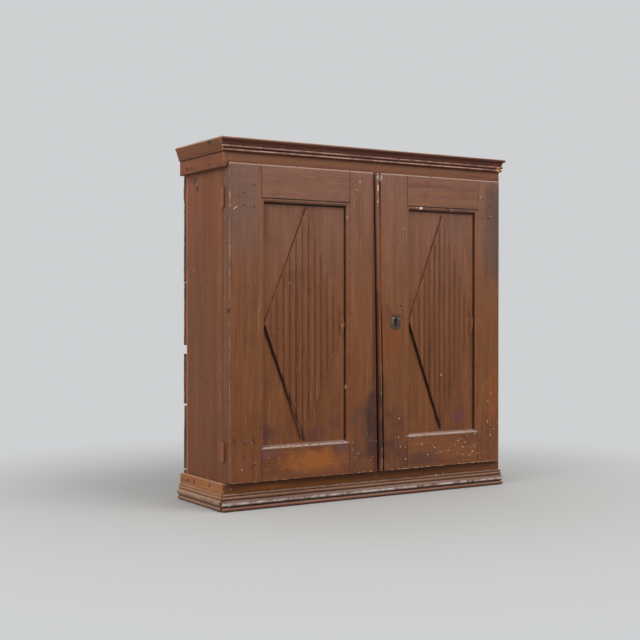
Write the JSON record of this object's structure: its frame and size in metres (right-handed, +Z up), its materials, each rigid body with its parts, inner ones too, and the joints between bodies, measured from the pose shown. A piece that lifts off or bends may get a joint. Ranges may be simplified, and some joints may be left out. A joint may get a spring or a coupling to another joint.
{
  "type": "hanging cupboard",
  "caption": "Wide, shallow wall cupboard with a moulded cornice and base and a pair of hinged panelled doors, each with a raised lozenge of upright reeds.",
  "frame": {"origin": "under the middle of the outline, at the height of the base's underside", "axes": "+Z up, the doors face -Y, +X to the right as seen from the front"},
  "size_m": [0.8676, 0.2523, 0.885],
  "materials": {
    "painted_case": "old brown paint, satin",
    "painted_doors": "old brown paint, worn satin",
    "painted_moulding": "dark brown paint, worn",
    "bare_pine": "bare aged pine",
    "iron": "dark wrought iron",
    "worn_iron": "iron rubbed bright"
  },
  "bodies": {
    "case": {"side_left": "painted_case", "side_right": "painted_case", "frieze_front": "painted_case", "frieze_left": "painted_case", "frieze_right": "painted_case", "top_board": "bare_pine", "bottom_board": "bare_pine", "shelf_lower": "bare_pine", "shelf_upper": "bare_pine", "back_board_1": "bare_pine", "back_board_2": "bare_pine", "back_board_3": "bare_pine", "back_board_4": "bare_pine", "back_board_5": "bare_pine", "back_board_6": "bare_pine", "cornice_front": "painted_moulding", "cornice_left": "painted_moulding", "cornice_right": "painted_moulding", "base_front": "painted_moulding", "base_left": "painted_moulding", "base_right": "painted_moulding", "left_upper_frame_leaf": "iron", "left_lower_frame_leaf": "iron", "right_upper_frame_leaf": "iron", "right_lower_frame_leaf": "iron", "hinge_pins": "iron", "frame_iron_nails": "iron", "slide_keeper": "iron", "case_nails": "iron", "trim_nails": "iron"},
    "left_door": {"left_hinge_stile": "painted_doors", "left_meeting_stile": "painted_doors", "left_top_rail": "painted_doors", "left_bottom_rail": "painted_doors", "left_panel": "painted_doors", "left_lozenge": "painted_doors", "left_pegs": "bare_pine", "left_upper_door_leaf": "iron", "left_lower_door_leaf": "iron", "left_door_nails": "iron", "strike_plate": "iron", "slide_plate": "iron", "slide_staples": "iron"},
    "right_door": {"right_hinge_stile": "painted_doors", "right_meeting_stile": "painted_doors", "right_top_rail": "painted_doors", "right_bottom_rail": "painted_doors", "right_panel": "painted_doors", "right_lozenge": "painted_doors", "right_pegs": "bare_pine", "right_upper_door_leaf": "iron", "right_lower_door_leaf": "iron", "right_door_nails": "iron", "escutcheon": "iron", "lock_plate": "iron", "lock_case": "iron", "lock_spring": "worn_iron"},
    "lock_bolt": {"lock_bolt": "worn_iron"},
    "door_bolt": {"slide_bolt": "worn_iron"}
  },
  "joints": [
    {"name": "left_door_hinge", "type": "hinge", "parent": "case", "child": "left_door", "pos_m": [-0.4135, -0.0964, 0], "axis": [0, 0, -1], "range_deg": [0, 110]},
    {"name": "right_door_hinge", "type": "hinge", "parent": "case", "child": "right_door", "pos_m": [0.4135, -0.0964, 0], "axis": [0, 0, 1], "range_deg": [0, 110]},
    {"name": "lock_bolt_slide", "type": "slide", "parent": "right_door", "child": "lock_bolt", "axis": [-1, 0, 0], "range_m": [0, 0.024]},
    {"name": "door_bolt_slide", "type": "slide", "parent": "left_door", "child": "door_bolt", "axis": [0, 0, -1], "range_m": [0, 0.016]}
  ]
}
